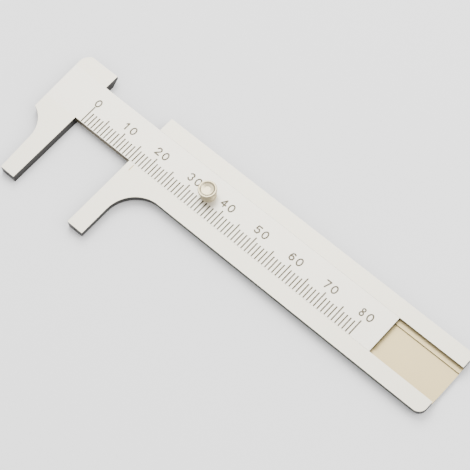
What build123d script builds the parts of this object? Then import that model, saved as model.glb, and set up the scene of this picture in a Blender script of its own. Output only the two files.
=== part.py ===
from build123d import *
import math
import os

os.makedirs("parts", exist_ok=True)

# Sliding pocket caliper, 0 to 80 mm. Millimetres, +Z up. It lies on its back,
# z = 0 is the back and z = thickness is the flat front face.
# u runs along the bar from its 0 mark, v across it from its lower edge.
origin_u = 45.837         # u of the frame's X = 0
origin_v = -3.05          # v of the frame's Y = 0
thickness = 2.4
bar_width = 10.0
bar_thick = 1.0
dovetail = 0.27           # flare of each bar edge over its thickness
slide_gap = 0.03          # running clearance of the bar in the channel
bar_end_u = 85.75
body_left_u = 15.45
body_right_u = 103.05
body_low_v = -3.95
body_top_v = 13.85
jaw_tip_v = -19.95
face_u = -1.68            # measuring face of the fixed jaw
recess_half = 3.75        # half width of the deeper middle of the channel
recess_z = 1.0
engrave = 0.12
tick_width = 0.34
stroke = 0.36
knob_u = 34.88
knob_v = 5.07
bar_z = thickness - bar_thick
knob_x, knob_y = knob_u - origin_u, knob_v - origin_v


def at(u, v):
    return (u - origin_u, v - origin_v)


def poly(*pts):
    return Polyline(*[at(*p) for p in pts], close=True)


# outer body: channel plate with the sliding jaw in one piece
with BuildPart() as slider_body:
    with BuildSketch(Plane.XY):
        with BuildLine():
            Line(at(body_left_u, body_top_v), at(101.2, body_top_v))
            ThreePointArc(at(101.2, body_top_v), at(102.5, 13.32), at(body_right_u, 12.0))
            Line(at(body_right_u, 12.0), at(body_right_u, -2.0))
            ThreePointArc(at(body_right_u, -2.0), at(102.45, -3.38), at(101.1, body_low_v))
            Line(at(101.1, body_low_v), at(27.3, body_low_v))
            ThreePointArc(at(27.3, body_low_v), at(22.15, -6.45), at(19.92, -12.0))
            Line(at(19.92, -12.0), at(19.92, jaw_tip_v))
            Line(at(19.92, jaw_tip_v), at(body_left_u, jaw_tip_v))
            Line(at(body_left_u, jaw_tip_v), at(body_left_u, body_top_v))
        make_face()
    extrude(amount=thickness)
    back = slider_body.edges().group_by(Axis.Z)[0]
    fillet(back.filter_by(Axis.X).sort_by(SortBy.LENGTH)[-2:], radius=1.2)
    # dovetailed channel, open at both ends, with a deeper flat middle
    with BuildSketch(Plane.YZ.offset(body_left_u - origin_u - 1)):
        with BuildLine():
            yc = 5.0 - origin_v
            h1 = bar_width / 2 + slide_gap
            h2 = h1 + dovetail * (bar_thick + 0.04) / bar_thick
            zl = bar_z - 0.04
            Polyline((yc - h1, thickness), (yc - h2, zl), (yc - recess_half, zl),
                     (yc - recess_half, recess_z), (yc + recess_half, recess_z),
                     (yc + recess_half, zl), (yc + h2, zl), (yc + h1, thickness), close=True)
        make_face()
    extrude(amount=body_right_u - body_left_u + 2, mode=Mode.SUBTRACT)
    # index mark beside the bar
    with BuildSketch(Plane.XY.offset(thickness)):
        with Locations(at(17.05, -1.15)):
            Rectangle(0.25, 1.7)
    extrude(amount=-0.08, mode=Mode.SUBTRACT)
slider_body.part.label = "slider_body"
export_step(slider_body.part, "parts/slider_body.step")

# fixed jaw and its head, with the groove that the bar is set into
with BuildPart() as fixed_jaw:
    with BuildSketch(Plane.XY):
        with BuildLine():
            Line(at(face_u, jaw_tip_v), at(face_u, body_top_v))
            Line(at(face_u, body_top_v), at(-9.7, body_top_v))
            ThreePointArc(at(-9.7, body_top_v), at(-10.9, 12.7), at(-11.35, 10.6))
            Line(at(-11.35, 10.6), at(-10.98, -3.85))
            ThreePointArc(at(-10.98, -3.85), at(-7.75, -6.1), at(-6.2, -10.6))
            Line(at(-6.2, -10.6), at(-5.72, jaw_tip_v))
            Line(at(-5.72, jaw_tip_v), at(face_u, jaw_tip_v))
        make_face()
    extrude(amount=thickness)
    back = fixed_jaw.edges().group_by(Axis.Z)[0]
    chamfer(back.filter_by(Axis.X).sort_by(Axis.Y)[-1], length=1.5, length2=1.9)
    with BuildSketch(Plane.YZ.offset(face_u - origin_u + 1)):
        with BuildLine():
            yc = 5.0 - origin_v
            h1 = bar_width / 2
            Polyline((yc - h1, thickness), (yc - h1 - dovetail, bar_z),
                     (yc + h1 + dovetail, bar_z), (yc + h1, thickness), close=True)
        make_face()
    extrude(amount=-14, mode=Mode.SUBTRACT)
fixed_jaw.part.label = "fixed_jaw"
export_step(fixed_jaw.part, "parts/fixed_jaw.step")

# scale bar: dovetailed strip with the engraved graduation
with BuildPart() as scale_bar:
    with BuildSketch(Plane.YZ.offset(-11.5 - origin_u)):
        with BuildLine():
            yc = 5.0 - origin_v
            h1 = bar_width / 2
            Polyline((yc - h1, thickness), (yc - h1 - dovetail, bar_z),
                     (yc + h1 + dovetail, bar_z), (yc + h1, thickness), close=True)
        make_face()
    extrude(amount=bar_end_u + 11.5)
    # left end cut to the head's slanting edge
    with BuildSketch(Plane.XY):
        with BuildLine():
            poly((-12.5, -1.0), (-11.05, -1.0), (-11.35, 11.0), (-12.5, 11.0))
        make_face()
    extrude(amount=thickness + 1, mode=Mode.SUBTRACT)
    # rivet hole for the knob's shank
    with Locations((knob_x, knob_y, thickness)):
        Hole(radius=0.8, depth=bar_thick + 0.1)
    # graduation, every millimetre, every fifth longer
    with BuildSketch(Plane.XY.offset(thickness)):
        for k in range(81):
            top = 4.75 if k == 0 else (4.25 if k % 5 == 0 else 3.35)
            with Locations(at(k, (top + 0.1) / 2)):
                Rectangle(tick_width, top - 0.1)
    extrude(amount=-engrave, mode=Mode.SUBTRACT)
    # figures
    strokes = {
        "1": [[(-0.35, 0.45), (0.1, 0.85), (0.1, -0.85)]],
        "2": [[(-0.55, 0.45), (-0.3, 0.8), (0.25, 0.8), (0.5, 0.45), (0.4, 0.1), (-0.55, -0.84), (0.6, -0.84)]],
        "3": [[(-0.5, 0.6), (-0.2, 0.84), (0.25, 0.84), (0.52, 0.5), (0.3, 0.08), (0.55, -0.4), (0.25, -0.84), (-0.2, -0.84), (-0.52, -0.55)]],
        "4": [[(0.25, -0.85), (0.25, 0.85), (-0.6, -0.35), (0.65, -0.35)]],
        "5": [[(0.5, 0.84), (-0.4, 0.84), (-0.5, 0.1), (0.2, 0.2), (0.55, -0.25), (0.3, -0.8), (-0.2, -0.84), (-0.55, -0.6)]],
        "6": [[(0.45, 0.65), (0.1, 0.84), (-0.3, 0.65), (-0.55, 0.0), (-0.45, -0.6), (0.0, -0.86), (0.5, -0.6), (0.5, -0.05), (0.05, 0.2), (-0.4, 0.0)]],
        "7": [[(-0.55, 0.84), (0.55, 0.84), (-0.1, -0.85)]],
    }
    with BuildSketch(Plane.XY.offset(thickness)):
        for k in range(0, 90, 10):
            marks = [("0", k)] if k == 0 else [(str(k)[0], k - 1.05), ("0", k + 1.05)]
            for ch, u in marks:
                cx, cy = at(u, 5.9)
                if ch == "0":
                    with Locations((cx, cy)):
                        Ellipse(0.78, 1.04)
                        Ellipse(0.78 - stroke, 1.04 - stroke, mode=Mode.SUBTRACT)
                elif ch == "8":
                    with Locations((cx, cy + 0.52)):
                        Circle(0.52)
                    with Locations((cx, cy - 0.46)):
                        Circle(0.6)
                    with Locations((cx, cy + 0.52)):
                        Circle(0.2, mode=Mode.SUBTRACT)
                    with Locations((cx, cy - 0.46)):
                        Circle(0.26, mode=Mode.SUBTRACT)
                else:
                    for path in strokes[ch]:
                        for a, b in zip(path[:-1], path[1:]):
                            ax, ay, bx, by = a[0], a[1], b[0], b[1]
                            ln = math.hypot(bx - ax, by - ay)
                            ang = math.degrees(math.atan2(by - ay, bx - ax))
                            with Locations((cx + (ax + bx) / 2, cy + (ay + by) / 2)):
                                SlotCenterToCenter(ln, stroke, rotation=ang)
    extrude(amount=-engrave, mode=Mode.SUBTRACT)
scale_bar.part.label = "scale_bar"
export_step(scale_bar.part, "parts/scale_bar.step")

# thumb knob: turned stud with two grooves, riveted through the bar
with BuildPart() as thumb_knob:
    with BuildSketch(Plane.XZ):
        with BuildLine():
            Polyline((0, bar_z + 0.02), (0.8, bar_z + 0.02), (0.8, thickness), (1.85, thickness),
                     (1.9, 2.5), (1.9, 3.0), (1.8, 3.15), (1.5, 3.3), (1.5, 3.5),
                     (1.9, 3.65), (2.0, 3.8), (2.0, 4.15), (1.85, 4.3), (1.6, 4.42), (1.6, 4.6),
                     (2.0, 4.75), (2.17, 4.9), (2.17, 5.3), (2.02, 5.5), (1.8, 5.5),
                     (1.4, 5.34), (0.7, 5.22), (0, 5.2), close=True)
        make_face()
    revolve(axis=Axis.Z)
thumb_knob.part.label = "thumb_knob"
thumb_knob.part.position = (knob_x, knob_y, 0)
export_step(thumb_knob.part, "parts/thumb_knob.step")
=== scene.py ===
import bpy
from mathutils import Matrix, Vector

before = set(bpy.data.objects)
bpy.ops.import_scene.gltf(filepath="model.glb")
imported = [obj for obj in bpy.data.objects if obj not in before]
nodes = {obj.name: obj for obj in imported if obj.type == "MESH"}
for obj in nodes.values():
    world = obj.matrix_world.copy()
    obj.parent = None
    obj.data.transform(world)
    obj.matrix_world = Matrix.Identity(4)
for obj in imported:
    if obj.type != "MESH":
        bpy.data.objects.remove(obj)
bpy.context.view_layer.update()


def metal(name, color, rough, metallic=1.0, low=None, recess_painted_light=None, wall_painted_shade=None):
    """Satin metal; surface below the height low takes the given recess colour, which is painted light in the
    recesses, and walls that don't face up take the given side colour, which is painted wall shade.
    """
    m = bpy.data.materials.new(name)
    m.use_nodes = True
    nt = m.node_tree
    b = next(n for n in nt.nodes if n.type == "BSDF_PRINCIPLED")
    b.inputs["Base Color"].default_value = (*color, 1)
    b.inputs["Metallic"].default_value = metallic
    b.inputs["Roughness"].default_value = rough
    if low is None:
        return m
    tc = nt.nodes.new("ShaderNodeTexCoord")
    parts = []
    # masks for the painted recess light (below height low) and the painted wall shade (normal Z under 0.6)
    for output, level in (("Object", low), ("Normal", 0.6)):
        sep = nt.nodes.new("ShaderNodeSeparateXYZ")
        nt.links.new(tc.outputs[output], sep.inputs[0])
        lt = nt.nodes.new("ShaderNodeMath")
        lt.operation = "LESS_THAN"
        lt.inputs[1].default_value = level
        nt.links.new(sep.outputs["Z"], lt.inputs[0])
        parts.append(lt.outputs[0])
    last = None
    for fac, col in zip(parts, (recess_painted_light, wall_painted_shade)):
        mix = nt.nodes.new("ShaderNodeMix")
        mix.data_type = "RGBA"
        mix.inputs[6].default_value = (*color, 1)
        if last is not None:
            nt.links.new(last, mix.inputs[6])
        mix.inputs[7].default_value = (*col, 1)
        nt.links.new(fac, mix.inputs[0])
        last = mix.outputs[2]
    nt.links.new(last, b.inputs["Base Color"])
    return m


def dress(name, mat):
    o = nodes[name]
    o.data.materials.clear()
    o.data.materials.append(mat)


# near-black painted shade for walls that don't face up
PAINTED_WALL_SHADE = (0.012, 0.010, 0.008)
# slider body: recessed surfaces get a painted golden reflection, walls get painted dark shade
dress("slider_body", metal("body_satin_painted_reflection_shade", (0.80, 0.755, 0.62), 0.42, 0.55, 0.00236, (0.60, 0.48, 0.24), PAINTED_WALL_SHADE))
# fixed jaw: recessed surfaces get painted grey shade, walls get painted dark shade
dress("fixed_jaw", metal("jaw_satin_painted_shade", (0.80, 0.755, 0.62), 0.42, 0.55, 0.00236, (0.45, 0.42, 0.34), PAINTED_WALL_SHADE))
# scale bar: surfaces below its top face and its walls get painted near-black shade
dress("scale_bar", metal("bar_satin_painted_shade", (0.81, 0.77, 0.66), 0.42, 0.55, 0.00236, (0.09, 0.075, 0.045), (0.07, 0.055, 0.03)))
dress("thumb_knob", metal("knob_satin", (0.50, 0.43, 0.28), 0.28))

# floor under the back
bpy.ops.mesh.primitive_plane_add(size=6.0, location=(0, 0, 0))
floor = bpy.context.object
floor.name = "floor"
fm = metal("floor_white", (0.97, 0.97, 0.97), 0.95, 0.0)
floor.data.materials.append(fm)


def light(name, loc, power, size):
    d = bpy.data.lights.new(name, "AREA")
    d.energy = power
    d.size = size
    o = bpy.data.objects.new(name, d)
    bpy.context.collection.objects.link(o)
    o.location = loc
    o.rotation_euler = (-Vector(loc)).to_track_quat("-Z", "Y").to_euler()
    return o


light("key", (-0.25, 0.30, 0.55), 6.0, 0.5)
light("fill", (0.45, 0.25, 0.5), 4.0, 0.6)

world = bpy.data.worlds.new("studio")
world.use_nodes = True
bg = next(n for n in world.node_tree.nodes if n.type == "BACKGROUND")
bg.inputs["Color"].default_value = (1, 1, 1, 1)
bg.inputs["Strength"].default_value = 1.15
bpy.context.scene.world = world

# camera: place and turn found from the graduation marks
cam_data = bpy.data.cameras.new("camera")
cam_data.sensor_width = 36.0
cam_data.lens = 138.25
cam_data.clip_start = 0.01
cam_data.dof.use_dof = False
cam = bpy.data.objects.new("camera", cam_data)
bpy.context.collection.objects.link(cam)
right = Vector((0.7372, 0.6721, -0.0698))
up = Vector((-0.5858, 0.6872, 0.4296))
back = Vector((0.3367, -0.2758, 0.9003))
rot = Matrix((right, up, back)).transposed().to_4x4()
place = Vector((0.17865 - 0.045837, -0.10706 + 0.00305, 0.35484 + 0.0024))
cam.matrix_world = Matrix.Translation(place) @ rot
bpy.context.scene.camera = cam

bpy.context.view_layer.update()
